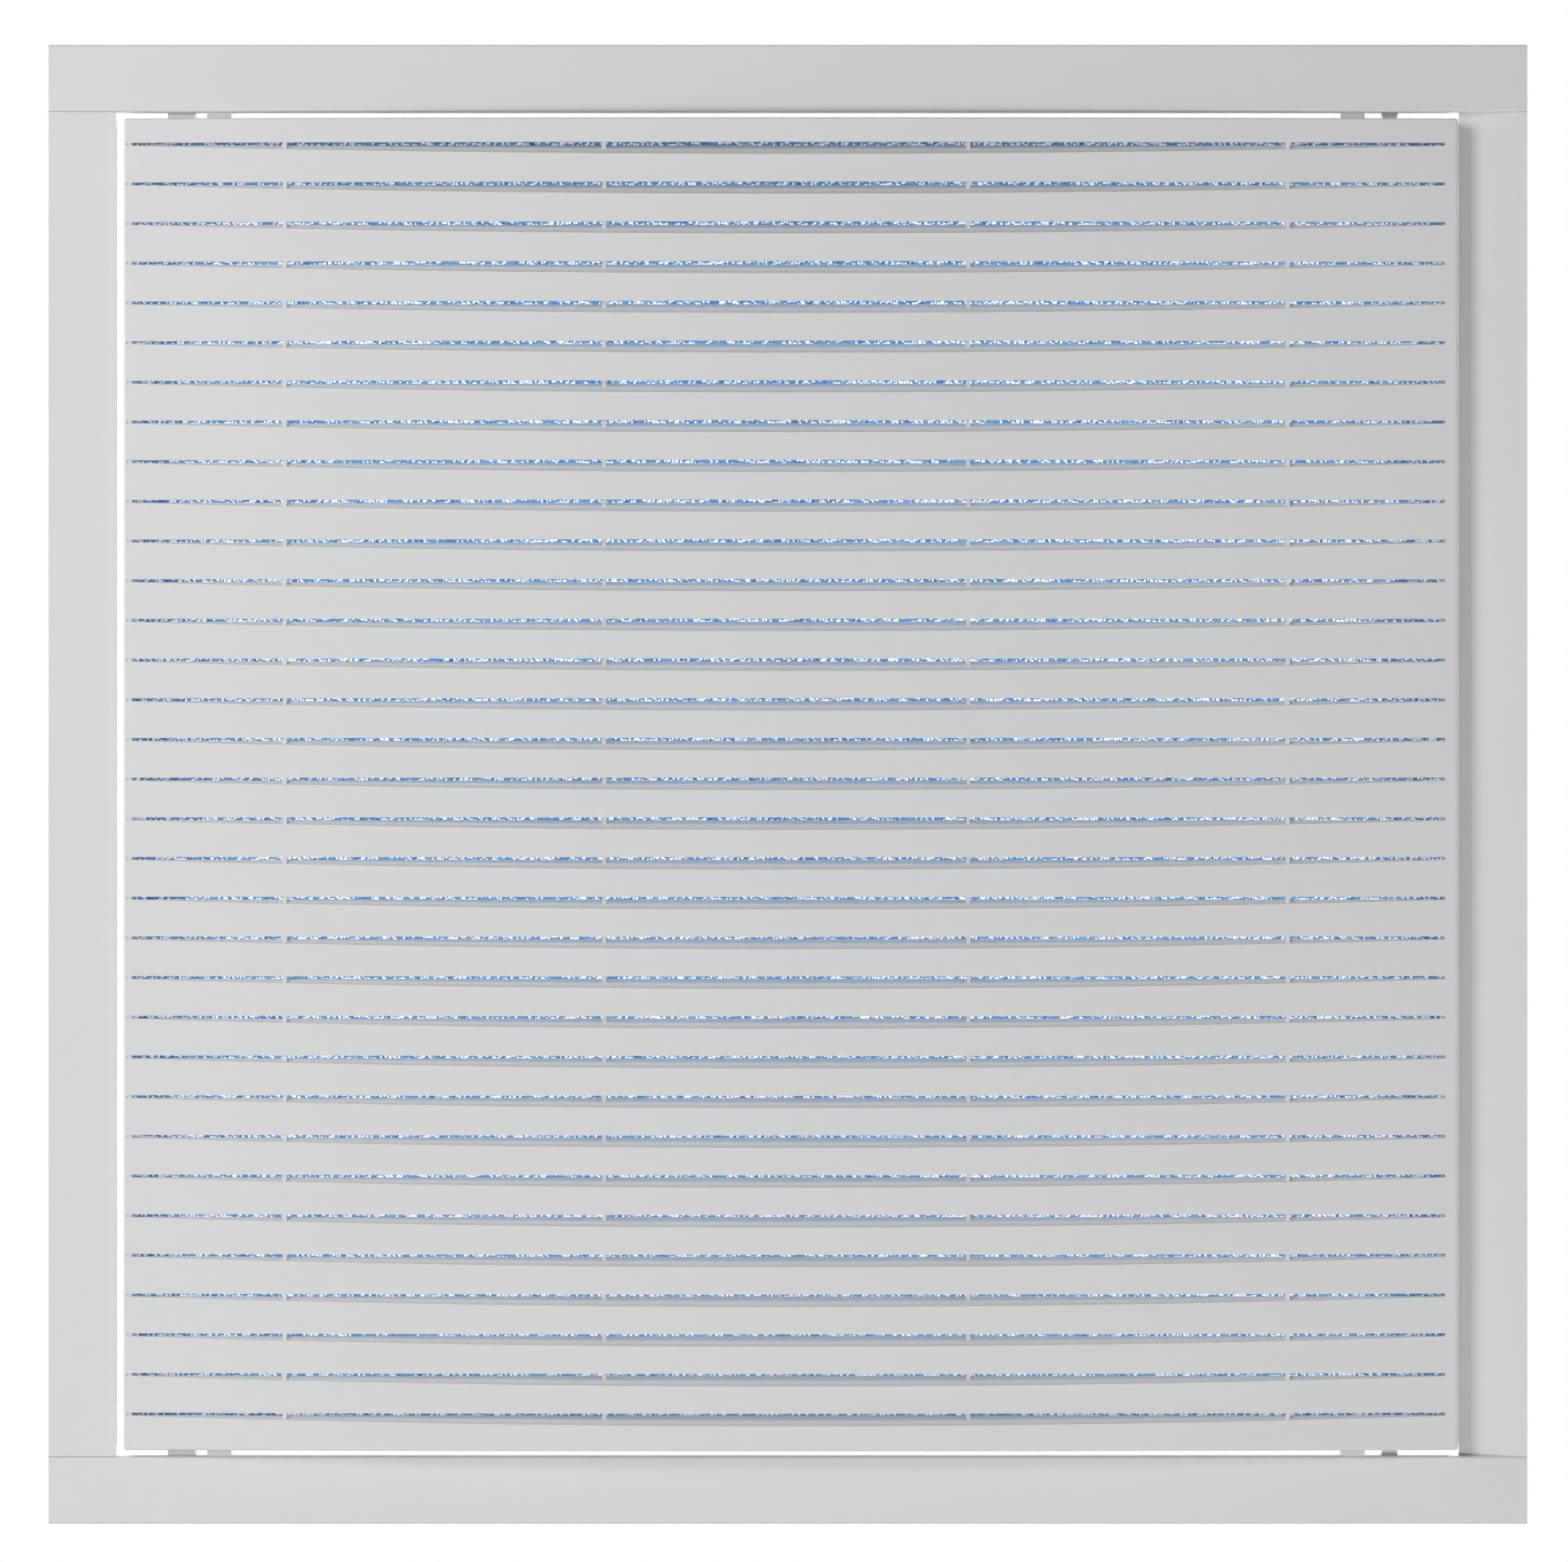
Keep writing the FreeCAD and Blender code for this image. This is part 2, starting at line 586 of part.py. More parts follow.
def build_filter_mat():
    body = new_body("filter_mat", PANEL_X, PANEL_Y)
    mat = new_sketch(body, "mat_outline", "XZ_Plane", sized("- ( rib_reach + mat_gap + mat_thickness )"))
    half_height = sized(f"{TRAY_HEIGHT} / 2 - mat_gap")
    rectangle(mat, sized(f"{TRAY_LEFT} + mat_gap"), sized(f"{TRAY_RIGHT} - mat_gap"),
              f"(-{half_height})", half_height)
    extrude("Pad", body, "mat", mat, sized("mat_thickness"))
    return body


# Filter retainer: a moulded grid clipped in behind the mat

def build_filter_retainer():
    body = new_body("filter_retainer", PANEL_X, PANEL_Y)
    left = sized(f"{TRAY_LEFT} + retainer_gap")
    right = sized(f"{TRAY_RIGHT} - retainer_gap")
    top = sized(f"{TRAY_HEIGHT} / 2 - retainer_gap")
    back = sized(f"- ( {RETAINER_FRONT} + retainer_thickness )")
    plate = new_sketch(body, "retainer_outline", "XZ_Plane", back)
    rectangle(plate, left, right, f"(-{top})", top)
    extrude("Pad", body, "plate", plate, sized("retainer_thickness"))

    middle = f"(({left} + {right}) / 2)"
    windows = new_sketch(body, "window_outlines", "XZ_Plane", back)
    for left_edge, right_edge in (
            (sized(f"{left} + retainer_rail"), sized(f"{middle} - retainer_bar / 2")),
            (sized(f"{middle} + retainer_bar / 2"), sized(f"{right} - retainer_rail"))):
        for low, high in ((sized("retainer_bar / 2"), sized(f"{top} - retainer_rail")),
                          (sized(f"retainer_rail - {top}"), sized("- retainer_bar / 2"))):
            rectangle(windows, left_edge, right_edge, low, high, sized("retainer_corner_radius"))
    through = sized(f"retainer_thickness + {PAST}")
    extrude("Pocket", body, "windows", windows, through, backwards=True)

    # A notch in each side rail lets a fingertip lift the grid out
    notches = new_sketch(body, "finger_notch_outlines", "XZ_Plane", back)
    for edge in (left, right):
        circle(notches, edge, sized("finger_notch_height"), sized("finger_notch_width"))
    extrude("Pocket", body, "finger_notches", notches, through, backwards=True)
    return body


bodies = [
    build_mounting_frame(),
    build_slatted_panel(),
    build_filter_mat(),
    build_filter_retainer(),
]
doc.recompute()

# Check and export

for item in doc.Objects:
    if "Invalid" in item.State or "Error" in item.State:
        raise RuntimeError(f"{item.Name} failed: {item.State}")

os.makedirs("parts", exist_ok=True)
for body in bodies:
    if body.Shape.isNull() or not body.Shape.isValid() or len(body.Shape.Solids) != 1:
        raise RuntimeError(f"{body.Label} is not one valid solid")
for body in bodies:
    body.Shape.exportStep(f"parts/{body.Label}.step")
    box = body.Shape.BoundBox
    print(f"{body.Label}: {body.Shape.Volume / 1000:.1f} cm3, x {box.XMin:.2f} to {box.XMax:.2f}, "
          f"y {box.YMin:.2f} to {box.YMax:.2f}, z {box.ZMin:.2f} to {box.ZMax:.2f}")
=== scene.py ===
import math
import random

import bmesh
import bpy
from mathutils import Matrix, Vector, noise


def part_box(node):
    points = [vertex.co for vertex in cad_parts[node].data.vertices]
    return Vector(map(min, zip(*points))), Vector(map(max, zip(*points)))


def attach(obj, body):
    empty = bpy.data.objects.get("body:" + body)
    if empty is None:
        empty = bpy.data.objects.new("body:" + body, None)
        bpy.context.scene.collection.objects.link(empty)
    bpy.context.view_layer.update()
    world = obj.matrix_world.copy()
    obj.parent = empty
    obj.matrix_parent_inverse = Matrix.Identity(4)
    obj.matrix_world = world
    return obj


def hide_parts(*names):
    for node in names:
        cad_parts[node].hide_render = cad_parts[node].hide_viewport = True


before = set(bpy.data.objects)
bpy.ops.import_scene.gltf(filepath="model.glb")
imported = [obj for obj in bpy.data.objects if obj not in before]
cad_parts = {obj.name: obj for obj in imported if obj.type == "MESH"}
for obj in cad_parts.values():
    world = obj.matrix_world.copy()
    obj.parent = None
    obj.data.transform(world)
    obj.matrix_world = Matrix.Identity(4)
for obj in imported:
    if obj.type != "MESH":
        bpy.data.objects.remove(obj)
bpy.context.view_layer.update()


# The mounting frame is one white polystyrene moulding that rests on the wall. Its surface has the fine
# satin grain of the mould, with a faint unevenness where the plastic flowed and shrank.

def node(tree, kind, settings=None, **inputs):
    """Add a shader node, set its properties, and set or link its inputs by name."""
    made = tree.nodes.new("ShaderNode" + kind)
    for name, setting in (settings or {}).items():
        setattr(made, name, setting)
    for name, given in inputs.items():
        socket = made.inputs[int(name[3:]) if name.startswith("in_") else name.replace("_", " ")]
        if isinstance(given, bpy.types.NodeSocket):
            tree.links.new(given, socket)
        else:
            socket.default_value = given
    return made


def new_group(name, inputs, outputs):
    """A shader node group with named sockets: floats, colours as four numbers, and vectors as three."""
    kinds = {float: "NodeSocketFloat", 4: "NodeSocketColor", 3: "NodeSocketVector"}
    tree = bpy.data.node_groups.new(name, "ShaderNodeTree")
    for direction, sockets in (("INPUT", inputs), ("OUTPUT", outputs)):
        for socket_name, start in sockets.items():
            kind = kinds[float if isinstance(start, float) else len(start)]
            socket = tree.interface.new_socket(socket_name, in_out=direction, socket_type=kind)
            socket.default_value = start
    return tree, tree.nodes.new("NodeGroupInput").outputs, tree.nodes.new("NodeGroupOutput").inputs


def moulded_surface():
    """Mottle, satin roughness and relief of a moulded plastic face. Heights are in metres."""
    tree, given, result = new_group(
        "moulded_surface",
        {"Colour": (0.8, 0.8, 0.8, 1.0), "Mottle": 0.01, "Roughness": 0.4, "Roughness Spread": 0.08,
         "Grain Height": 0.000003, "Flow Height": 0.00002, "Shift": (0.0, 0.0, 0.0)},
        {"Colour": (0.8, 0.8, 0.8, 1.0), "Roughness": 0.4, "Height": 0.0})
    place = node(tree, "TexCoord").outputs["Object"]
    place = node(tree, "VectorMath", {"operation": "ADD"}, in_0=place, in_1=given["Shift"]).outputs[0]
    grain = node(tree, "TexNoise", Vector=place, Scale=2600.0, Detail=2.0).outputs[0]
    flow = node(tree, "TexNoise", Vector=place, Scale=16.0, Detail=3.0).outputs[0]
    handling = node(tree, "TexNoise", Vector=place, Scale=70.0, Detail=4.0).outputs[0]

    darkest = node(tree, "Math", {"operation": "SUBTRACT"}, in_0=1.0, in_1=given["Mottle"]).outputs[0]
    tone = node(tree, "MapRange", Value=flow, From_Min=0.3, From_Max=0.7, To_Min=darkest,
                To_Max=1.0).outputs[0]
    toned = node(tree, "VectorMath", {"operation": "SCALE"}, in_0=given["Colour"], Scale=tone).outputs[0]
    tree.links.new(toned, result["Colour"])

    spread = node(tree, "Math", {"operation": "SUBTRACT"}, in_0=handling, in_1=0.5).outputs[0]
    sheen = node(tree, "Math", {"operation": "MULTIPLY_ADD"}, in_0=spread, in_1=given["Roughness Spread"],
                 in_2=given["Roughness"]).outputs[0]
    tree.links.new(sheen, result["Roughness"])

    fine = node(tree, "Math", {"operation": "MULTIPLY"}, in_0=grain, in_1=given["Grain Height"]).outputs[0]
    relief = node(tree, "Math", {"operation": "MULTIPLY_ADD"}, in_0=flow, in_1=given["Flow Height"],
                  in_2=fine).outputs[0]
    tree.links.new(relief, result["Height"])
    return tree


def white_plastic(name, colour, roughness, shift, milky=0.0):
    """A satin white plastic for one moulding. milky is the share of the light that goes through it."""
    material = bpy.data.materials.new(name)
    material.use_nodes = True
    tree = material.node_tree
    tree.nodes.clear()
    surface = bpy.data.node_groups.get("moulded_surface") or moulded_surface()
    skin = node(tree, "Group", {"node_tree": surface}, Colour=(*colour, 1.0), Roughness=roughness,
                Shift=shift)
    bump = node(tree, "Bump", Strength=1.0, Distance=1.0, Height=skin.outputs["Height"])
    shader = node(tree, "BsdfPrincipled", Base_Color=skin.outputs["Colour"],
                  Roughness=skin.outputs["Roughness"], Normal=bump.outputs["Normal"], IOR=1.5)
    if milky:
        through = node(tree, "BsdfTranslucent", Color=skin.outputs["Colour"])
        shader = node(tree, "MixShader", in_0=milky, in_1=shader.outputs[0], in_2=through.outputs[0])
    node(tree, "OutputMaterial", Surface=shader.outputs[0])
    return material


WHITE = (0.80, 0.80, 0.795)
SATIN = 0.3

frame_plastic = white_plastic("white_frame_plastic", WHITE, SATIN, shift=(0.0, 0.0, 0.0))
mounting_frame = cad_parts["mounting_frame"]
mounting_frame.material_slots[0].material = frame_plastic


# The slatted panel is one moulding too, a tray with a bowed front of fine slats. It comes from another
# mould than the frame, so its plastic has its own pattern of flow.

panel_plastic = white_plastic("white_panel_plastic", WHITE, SATIN, shift=(0.31, 0.0, 0.17))
slatted_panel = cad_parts["slatted_panel"]
slatted_panel.material_slots[0].material = panel_plastic


# The filter retainer is a thin grid that snaps in behind the mat. It is moulded from plastic without
# pigment, which is milky and lets most of the light through, so that its bars hardly shade the mat.

MILKY_WHITE = (0.93, 0.93, 0.92)
MILKY_ROUGHNESS = 0.34
MILKY_SHARE = 0.88

retainer_plastic = white_plastic("milky_retainer_plastic", MILKY_WHITE, MILKY_ROUGHNESS,
                                 shift=(0.73, 0.0, 0.41), milky=MILKY_SHARE)
filter_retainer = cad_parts["filter_retainer"]
filter_retainer.material_slots[0].material = retainer_plastic


# The filter mat is cut from a loose fleece of polyester fibres. It is dyed blue, and the dye fades towards
# the duct. It lies against the ribs in front, and bulges a little into the retainer's windows behind.

MAT_LOW, MAT_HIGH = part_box("filter_mat")
MAT_MIDDLE = (MAT_LOW + MAT_HIGH) / 2
MAT_SIZE = MAT_HIGH - MAT_LOW
MAT_SEED = 21
CUT_EDGE = 0.0018
MAT_CELLS = 120
LUMP_HEIGHT = 0.00045
LUMP_SCALE = 260
SMALL_LUMP_SCALE = 620
WINDOW_BULGE = 0.0011
WINDOW_RAIL = 0.008
WINDOW_BAR = 0.005
DYE_FADES_FROM = 0.003
DYE_GONE_BEFORE = 0.002
FILAMENT_TURNS = (0.3, 1.1, 1.9, 2.7)
LIGHT_THROUGH = 0.92


def window_share(across, half):
    """How far into the retainer's window a place is along one axis: 0 at its edges, 1 at its middle."""
    share = (abs(across) - WINDOW_BAR / 2) / (half - WINDOW_RAIL - WINDOW_BAR / 2)
    return math.sin(math.pi * share) ** 0.5 if 0 < share < 1 else 0.0


def lumps(place):
    """Relief of the fleece: soft lumps of a few millimetres with smaller ones on them."""
    small_lumps = noise.noise(place * SMALL_LUMP_SCALE + Vector((7, 3, 5)))
    return noise.noise(place * LUMP_SCALE) * 0.6 + small_lumps * 0.4


core = bmesh.new()
bmesh.ops.create_cube(core, size=1.0, matrix=Matrix.Translation(MAT_MIDDLE) @ Matrix.Diagonal((*MAT_SIZE, 1)))
bmesh.ops.bevel(core, geom=core.edges[:], offset=CUT_EDGE, offset_type="OFFSET", segments=2, profile=0.5,
                affect="EDGES", material=-1)
for axis in (0, 2):
    normal = Vector((1, 0, 0)) if axis == 0 else Vector((0, 0, 1))
    start = MAT_LOW[axis] + CUT_EDGE
    step = (MAT_SIZE[axis] - 2 * CUT_EDGE) / MAT_CELLS
    for index in range(1, MAT_CELLS):
        bmesh.ops.bisect_plane(core, geom=core.verts[:] + core.edges[:] + core.faces[:], dist=1e-7,
                               plane_co=normal * (start + index * step), plane_no=normal)
core.normal_update()
for vert in core.verts:
    place = vert.co.copy()
    vert.co += vert.normal * (lumps(place) * LUMP_HEIGHT)
    if place.y > MAT_MIDDLE.y:
        bulge = (window_share(place.x - MAT_MIDDLE.x, MAT_SIZE.x / 2)
                 * window_share(place.z - MAT_MIDDLE.z, MAT_SIZE.z / 2))
        vert.co.y += bulge * WINDOW_BULGE
for face in core.faces:
    face.smooth = True
core_mesh = bpy.data.meshes.new("fleece_core")
core.to_mesh(core_mesh)
core.free()
fleece = bpy.data.objects.new("fleece_core", core_mesh)
bpy.context.scene.collection.objects.link(fleece)


def fibre_streaks():
    """Masks of a fleece's face: crossing filaments, round dots of painted highlight, and painted shade in the
    gaps between the fibres.
    """
    tree, given, result = new_group(
        "fibre_streaks",
        {"Fibre Scale": 520.0, "Stretch": 0.35, "Fibre Width": 0.035, "Glint Scale": 1800.0,
         "Glint Size": 0.52, "Glint Share": 0.62},
        {"Filaments": 0.0, "Painted Glints": 0.0, "Painted Gap Shade": 0.0})
    place = node(tree, "TexCoord").outputs["Object"]
    squeeze = node(tree, "CombineXYZ", X=given["Stretch"], Y=1.0, Z=1.0).outputs[0]
    bend = node(tree, "TexNoise", Vector=place, Scale=170.0, Detail=1.0).outputs[1]
    bend = node(tree, "VectorMath", {"operation": "SCALE"}, in_0=bend, Scale=0.004).outputs[0]
    bent = node(tree, "VectorMath", {"operation": "ADD"}, in_0=place, in_1=bend).outputs[0]
    filaments = 0.0
    for turn in FILAMENT_TURNS:
        turned = node(tree, "Mapping", Vector=bent, Location=(turn, 0.0, -turn),
                      Rotation=(0.0, turn, 0.0)).outputs[0]
        stretched = node(tree, "VectorMath", {"operation": "MULTIPLY"}, in_0=turned, in_1=squeeze).outputs[0]
        web = node(tree, "TexNoise", Vector=stretched, Scale=given["Fibre Scale"], Detail=0.0).outputs[0]
        middle = node(tree, "Math", {"operation": "SUBTRACT"}, in_0=web, in_1=0.5).outputs[0]
        away = node(tree, "Math", {"operation": "ABSOLUTE"}, in_0=middle).outputs[0]
        filament = node(tree, "MapRange", Value=away, From_Min=given["Fibre Width"], From_Max=0.0).outputs[0]
        filaments = node(tree, "Math", {"operation": "MAXIMUM"}, in_0=filament, in_1=filaments).outputs[0]
    fine_bend = node(tree, "TexNoise", Vector=place, Scale=2400.0, Detail=1.0).outputs[1]
    fine_bend = node(tree, "VectorMath", {"operation": "SCALE"}, in_0=fine_bend, Scale=0.0005).outputs[0]
    flat = node(tree, "VectorMath", {"operation": "ADD"}, in_0=place, in_1=fine_bend).outputs[0]
    across = node(tree, "SeparateXYZ", Vector=flat).outputs
    flat = node(tree, "CombineXYZ", X=across["X"], Y=across["Z"]).outputs[0]
    # Painted highlight: pale round dots, scattered at random, stand in for glinting light in the fleece.
    cells = node(tree, "TexVoronoi", {"voronoi_dimensions": "2D"}, Vector=flat,
                 Scale=given["Glint Scale"]).outputs
    dot = node(tree, "MapRange", Value=cells["Distance"], From_Min=given["Glint Size"],
               From_Max=0.38).outputs[0]
    chance = node(tree, "SeparateXYZ", Vector=cells["Color"]).outputs[0]
    chosen = node(tree, "Math", {"operation": "LESS_THAN"}, in_0=chance, in_1=given["Glint Share"]).outputs[0]
    painted_glints = node(tree, "Math", {"operation": "MULTIPLY"}, in_0=dot, in_1=chosen).outputs[0]
    # Painted shade: darker patches stand in for the shade in the hollows between fibres.
    depth = node(tree, "TexNoise", Vector=bent, Scale=2400.0, Detail=1.0).outputs[0]
    painted_gap_shade = node(tree, "MapRange", Value=depth, From_Min=0.52, From_Max=0.38).outputs[0]
    tree.links.new(filaments, result["Filaments"])
    tree.links.new(painted_glints, result["Painted Glints"])
    tree.links.new(painted_gap_shade, result["Painted Gap Shade"])
    return tree


def fleece_material():
    """Fleece whose dye fades through its thickness, with teal patches, painted shade in its gaps and pale
    dots of painted highlight.
    """
    material = bpy.data.materials.new("blue_filter_fleece")
    material.use_nodes = True
    tree = material.node_tree
    tree.nodes.clear()
    streaks = node(tree, "Group", {"node_tree": fibre_streaks()})
    place = node(tree, "TexCoord").outputs["Object"]
    depth = node(tree, "SeparateXYZ", Vector=place).outputs["Y"]
    drift = node(tree, "TexNoise", Vector=place, Scale=220.0, Detail=3.0).outputs[0]
    drift = node(tree, "MapRange", Value=drift, To_Min=-0.002, To_Max=0.002).outputs[0]
    depth = node(tree, "Math", {"operation": "ADD"}, in_0=depth, in_1=drift).outputs[0]
    dye = node(tree, "MapRange", Value=depth, From_Min=MAT_LOW.y + DYE_FADES_FROM,
               From_Max=MAT_HIGH.y - DYE_GONE_BEFORE).outputs[0]
    colours = {}
    for part, blue, white in (("dyed", (0.08, 0.25, 0.62, 1), (0.86, 0.88, 0.90, 1)),
                              ("teal", (0.09, 0.32, 0.58, 1), (0.84, 0.88, 0.88, 1)),
                              ("filament", (0.18, 0.35, 0.62, 1), (0.92, 0.94, 0.95, 1)),
                              # Painted highlight: pale dots that stand in for glinting light.
                              ("painted_glint", (0.95, 0.98, 1.0, 1), (0.97, 0.98, 0.99, 1)),
                              # Painted shade of the hollows between fibres.
                              ("painted_gap", (0.05, 0.13, 0.32, 1), (0.66, 0.70, 0.75, 1))):
        mix = node(tree, "Mix", {"data_type": "RGBA"}, in_0=dye)
        mix.inputs[6].default_value = blue
        mix.inputs[7].default_value = white
        colours[part] = mix.outputs[2]
    patches = node(tree, "TexNoise", Vector=place, Scale=420.0, Detail=2.0).outputs[0]
    patches = node(tree, "MapRange", Value=patches, From_Min=0.4, From_Max=0.6).outputs[0]
    shaded = colours["dyed"]
    for part, mask in (("teal", patches), ("painted_gap", streaks.outputs["Painted Gap Shade"]),
                       ("filament", streaks.outputs["Filaments"]), ("painted_glint", streaks.outputs["Painted Glints"])):
        shaded = node(tree, "Mix", {"data_type": "RGBA"}, in_0=mask, in_6=shaded,
                      in_7=colours[part]).outputs[2]
    bump = node(tree, "Bump", Strength=0.8, Distance=0.0003, Height=streaks.outputs["Filaments"])
    shader = node(tree, "BsdfPrincipled", Base_Color=shaded, Roughness=0.7, Normal=bump.outputs["Normal"],
                  Sheen_Weight=0.4, Sheen_Roughness=0.4)
    through = node(tree, "BsdfTranslucent", Color=shaded)
    both = node(tree, "MixShader", in_0=LIGHT_THROUGH, in_1=shader.outputs[0], in_2=through.outputs[0])
    node(tree, "OutputMaterial", Surface=both.outputs[0])
    return material


core_mesh.materials.append(fleece_material())
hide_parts("filter_mat")
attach(fleece, "panel")


# Loose fibres stand in low arches from both faces of the fleece. Each is one polyester filament or a few
# stuck together, smooth enough to glint: mostly dyed blue in front, undyed behind.

FIBRE_THICKNESS = 0.00008
FIBRE_ARCHES = ((0.003, 1.6), (0.005, 1.2), (0.008, 0.9))
FIBRE_LIFT = 0.0004
FIBRE_TILT = 0.12
FIBRE_SIZES = (0.6, 1.2)
FRONT_FIBRES = 6500
BACK_FIBRES = 3500
PALE_IN_FRONT = 0.10
PALE_BEHIND = 0.9


def fibre_material(name, colour):
    """A smooth fibre, a little paler and darker along its length."""
    material = bpy.data.materials.new(name)
    material.use_nodes = True
    tree = material.node_tree
    tree.nodes.clear()
    place = node(tree, "TexCoord").outputs["Object"]
    change = node(tree, "TexNoise", Vector=place, Scale=300.0, Detail=2.0).outputs[0]
    tone = node(tree, "MapRange", Value=change, From_Min=0.3, From_Max=0.7, To_Min=0.8, To_Max=1.1).outputs[0]
    toned = node(tree, "VectorMath", {"operation": "SCALE"}, in_0=colour, Scale=tone).outputs[0]
    shader = node(tree, "BsdfPrincipled", Base_Color=toned, Roughness=0.22, IOR=1.6)
    through = node(tree, "BsdfTranslucent", Color=toned)
    both = node(tree, "MixShader", in_0=0.5, in_1=shader.outputs[0], in_2=through.outputs[0])
    node(tree, "OutputMaterial", Surface=both.outputs[0])
    return material


def fibre_shape(bend, turn):
    """One arched fibre in the XY plane, its crown at the origin and its ends towards +Y."""
    shape = bmesh.new()
    start = (Matrix.Translation((0, bend, 0)) @ Matrix.Rotation(-turn / 2, 4, "Z")
             @ Matrix.Translation((0, -bend, 0)))
    section = Matrix.Rotation(math.pi / 2, 4, "Y")
    bmesh.ops.create_circle(shape, cap_ends=False, segments=3, radius=FIBRE_THICKNESS / 2,
                            matrix=start @ section)
    bmesh.ops.spin(shape, geom=shape.edges[:], cent=(0, bend, 0), axis=(0, 0, 1), angle=turn, steps=4,
                   use_merge=False, use_normal_flip=False, use_duplicate=False)
    bmesh.ops.holes_fill(shape, edges=[edge for edge in shape.edges if edge.is_boundary], sides=3)
    bmesh.ops.recalc_face_normals(shape, faces=shape.faces[:])
    for face in shape.faces:
        face.smooth = True
    mesh = bpy.data.meshes.new("fibre_shape")
    shape.to_mesh(mesh)
    shape.free()
    return mesh


def loose_fibres(name, count, facing, materials, pale_share, seed):
    """Arched fibres scattered over one face of the mat. facing is -1 for its front and 1 for its back."""
    draw = random.Random(seed)
    shapes = [fibre_shape(bend, turn) for bend, turn in FIBRE_ARCHES]
    cloud = bmesh.new()
    for _ in range(count):
        x = draw.uniform(MAT_LOW.x + CUT_EDGE, MAT_HIGH.x - CUT_EDGE)
        z = draw.uniform(MAT_LOW.z + CUT_EDGE, MAT_HIGH.z - CUT_EDGE)
        y = MAT_LOW.y if facing < 0 else MAT_HIGH.y
        place = Vector((x, y, z))
        y += facing * lumps(place) * LUMP_HEIGHT
        if facing > 0:
            y += WINDOW_BULGE * (window_share(x - MAT_MIDDLE.x, MAT_SIZE.x / 2)
                                 * window_share(z - MAT_MIDDLE.z, MAT_SIZE.z / 2))
        proud = facing * draw.uniform(0.0, FIBRE_LIFT)
        strand = draw.choice(shapes).copy()
        turn_over = Matrix.Identity(4) if facing < 0 else Matrix.Rotation(math.pi, 4, "Z")
        strand.transform(
            Matrix.Translation((x, y + proud, z)) @ Matrix.Rotation(draw.uniform(0, math.tau), 4, "Y")
            @ Matrix.Rotation(draw.gauss(0, FIBRE_TILT), 4, "X") @ turn_over
            @ Matrix.Scale(draw.uniform(*FIBRE_SIZES), 4))
        pale = draw.random() < pale_share
        strand.polygons.foreach_set("material_index", [int(pale)] * len(strand.polygons))
        cloud.from_mesh(strand)
        bpy.data.meshes.remove(strand)
    mesh = bpy.data.meshes.new(name)
    cloud.to_mesh(mesh)
    cloud.free()
    for material in materials:
        mesh.materials.append(material)
    piece = bpy.data.objects.new(name, mesh)
    bpy.context.scene.collection.objects.link(piece)
    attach(piece, "panel")
    return piece


blue_fibre = fibre_material("blue_fibre", (0.17, 0.34, 0.60))
white_fibre = fibre_material("white_fibre", (0.88, 0.91, 0.94))
loose_fibres("fleece_front_fibres", FRONT_FIBRES, -1, [blue_fibre, white_fibre], PALE_IN_FRONT, MAT_SEED)
loose_fibres("fleece_back_fibres", BACK_FIBRES, 1, [blue_fibre, white_fibre], PALE_BEHIND, MAT_SEED + 1)


# The floor is a plain pale sheet well below the grille, which hangs on its wall mount in the open. The
# backdrop is plain white to the camera and in reflections, and gives the object only a faint light.

FLOOR_HALF = 3.4
FLOOR_PLACE = (0, 0, -0.62)
BACKDROP_LIGHT = 1.0
ROOM_LIGHT = 0.03

floor = bmesh.new()
bmesh.ops.create_grid(floor, x_segments=1, y_segments=1, size=FLOOR_HALF,
                      matrix=Matrix.Translation(FLOOR_PLACE))
floor_mesh = bpy.data.meshes.new("floor")
floor.to_mesh(floor_mesh)
floor.free()
floor_object = bpy.data.objects.new("floor", floor_mesh)
bpy.context.scene.collection.objects.link(floor_object)
floor_material = bpy.data.materials.new("pale_floor")
floor_material.use_nodes = True
floor_shader = floor_material.node_tree.nodes["Principled BSDF"]
floor_shader.inputs["Base Color"].default_value = (0.86, 0.86, 0.86, 1)
floor_shader.inputs["Roughness"].default_value = 0.8
floor_mesh.materials.append(floor_material)

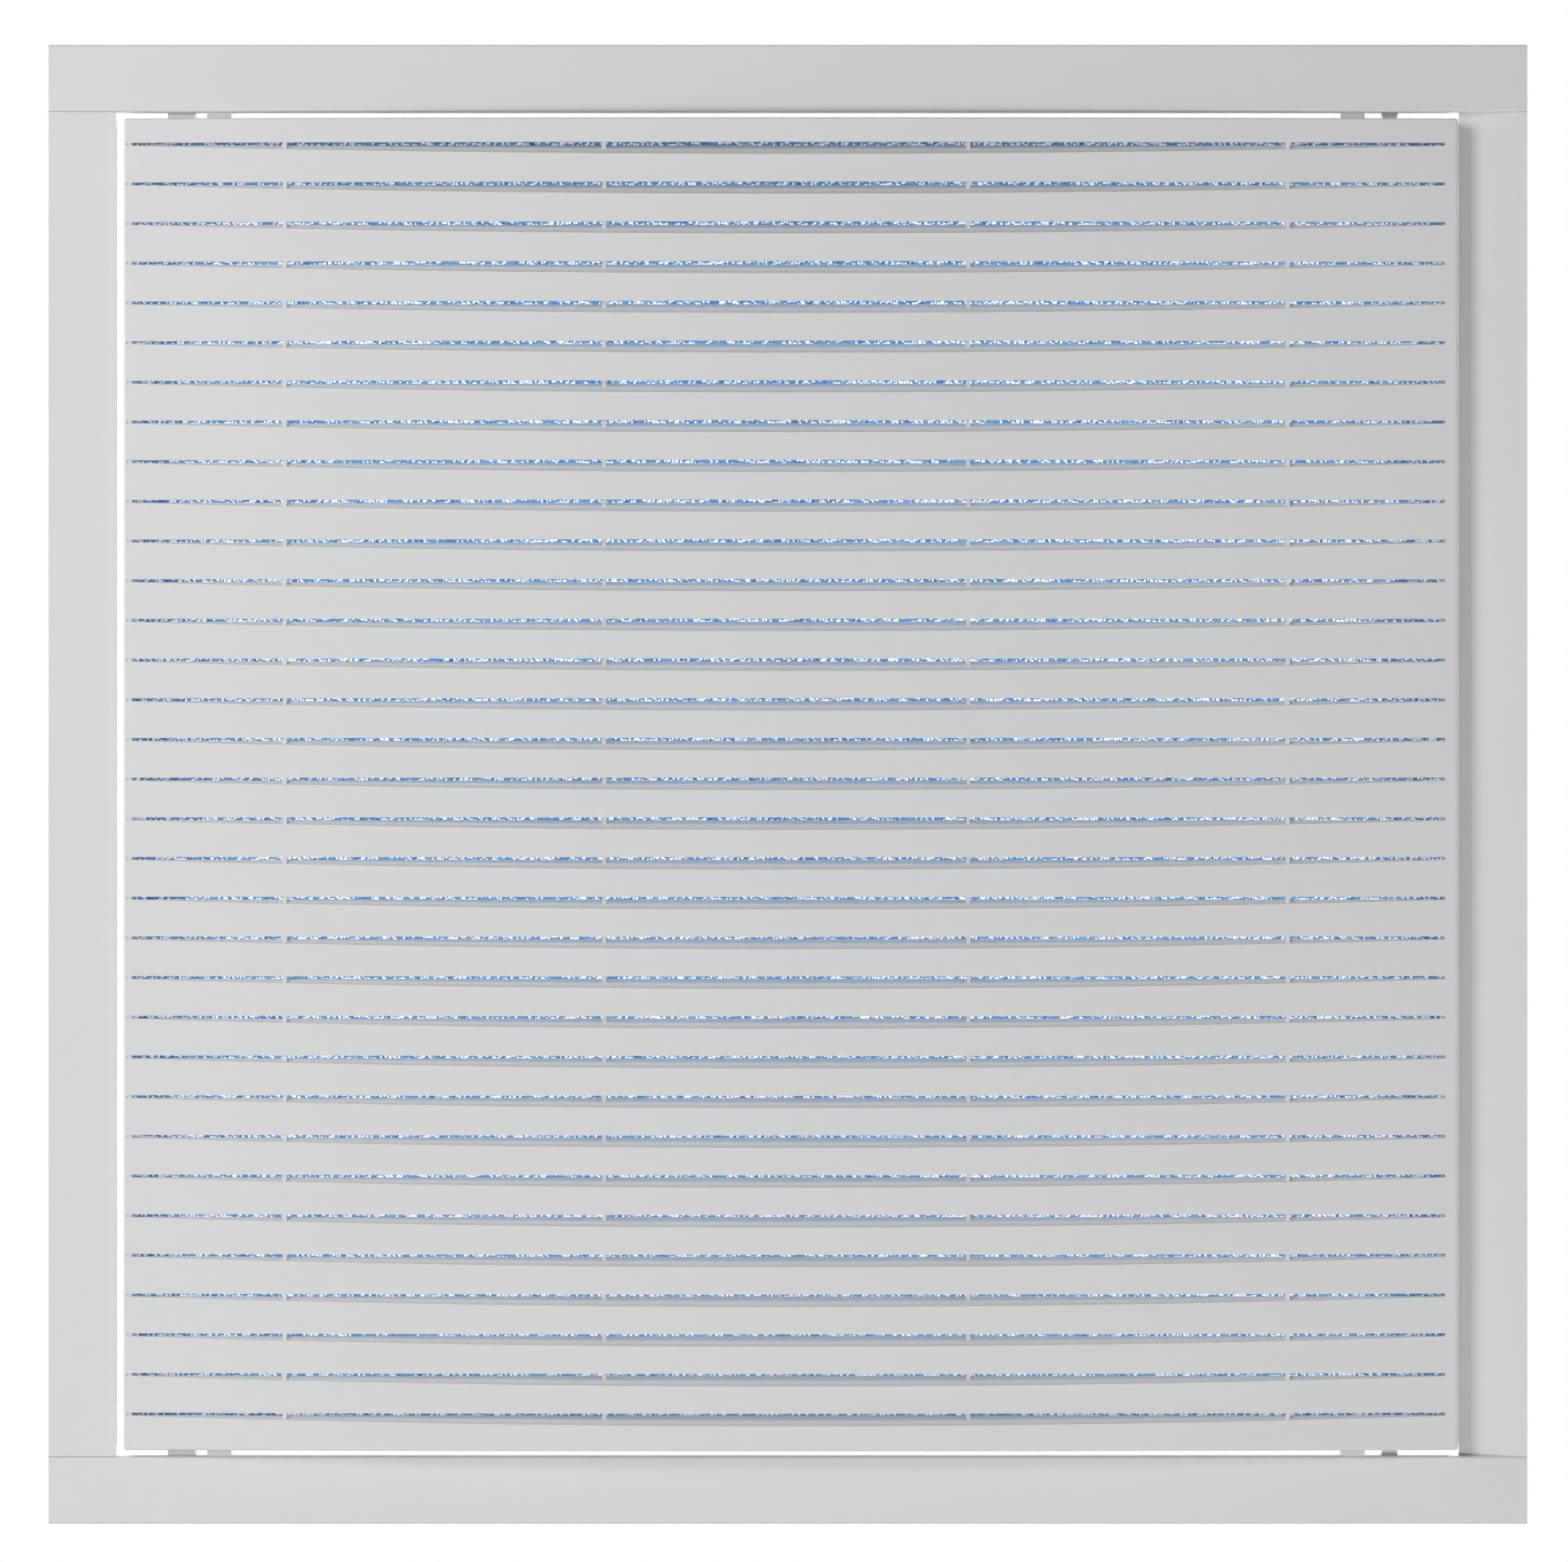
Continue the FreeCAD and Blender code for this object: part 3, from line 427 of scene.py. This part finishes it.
world = bpy.data.worlds.new("white_studio")
bpy.context.scene.world = world
world.use_nodes = True
tree = world.node_tree
tree.nodes.clear()
rays = node(tree, "LightPath")
seen = node(tree, "Math", {"operation": "MAXIMUM"}, in_0=rays.outputs["Is Camera Ray"],
            in_1=rays.outputs["Is Glossy Ray"]).outputs[0]
seen = node(tree, "Math", {"operation": "MAXIMUM"}, in_0=seen,
            in_1=rays.outputs["Is Transmission Ray"]).outputs[0]
backdrop = node(tree, "Background", Color=(1, 1, 1, 1), Strength=BACKDROP_LIGHT)
room = node(tree, "Background", Color=(1, 1, 1, 1), Strength=ROOM_LIGHT)
chosen = node(tree, "MixShader", in_0=seen, in_1=room.outputs[0], in_2=backdrop.outputs[0])
node(tree, "OutputWorld", Surface=chosen.outputs[0])


# Soft lamps: two on the left, one above the other, light the slopes between the slats and cast the
# shadow beside the panel's right edge. A long one in front and below evens out the bars. The large one
# behind shines through the mat and the gaps.

def softbox(name, place, width, height, watts):
    """A rectangular lamp that faces the grille's centre."""
    lamp = bpy.data.lights.new(name, "AREA")
    lamp.shape = "RECTANGLE"
    lamp.size = width
    lamp.size_y = height
    lamp.energy = watts
    lamp_object = bpy.data.objects.new(name, lamp)
    lamp_object.location = place
    lamp_object.rotation_euler = (-Vector(place)).to_track_quat("-Z", "Y").to_euler()
    bpy.context.scene.collection.objects.link(lamp_object)


softbox("left_lamp", place=(-0.95, -0.80, 0.16), width=0.5, height=0.3, watts=3.5)
softbox("upper_left_lamp", place=(-0.85, -0.75, 0.60), width=0.5, height=0.3, watts=5.8)
softbox("low_lamp", place=(0.40, -1.15, -0.62), width=1.8, height=0.3, watts=13.4)
softbox("back_lamp", place=(0.0, 1.00, 0.0), width=2.4, height=2.4, watts=26.0)


# The camera stands straight in front of the grille, far enough back for the photograph's flat view.

SENSOR_WIDTH = 36.0
LENS = 169.76
CAMERA_PLACE = (-0.0008, -1.509, 0.00066)

camera_data = bpy.data.cameras.new("camera")
camera_data.sensor_width = SENSOR_WIDTH
camera_data.lens = LENS
camera_data.clip_start = 0.01
camera_data.clip_end = 100.0
camera = bpy.data.objects.new("camera", camera_data)
camera.location = CAMERA_PLACE
camera.rotation_euler = (math.pi / 2, 0, 0)
bpy.context.scene.collection.objects.link(camera)
bpy.context.scene.camera = camera
bpy.context.scene.view_settings.view_transform = "Standard"
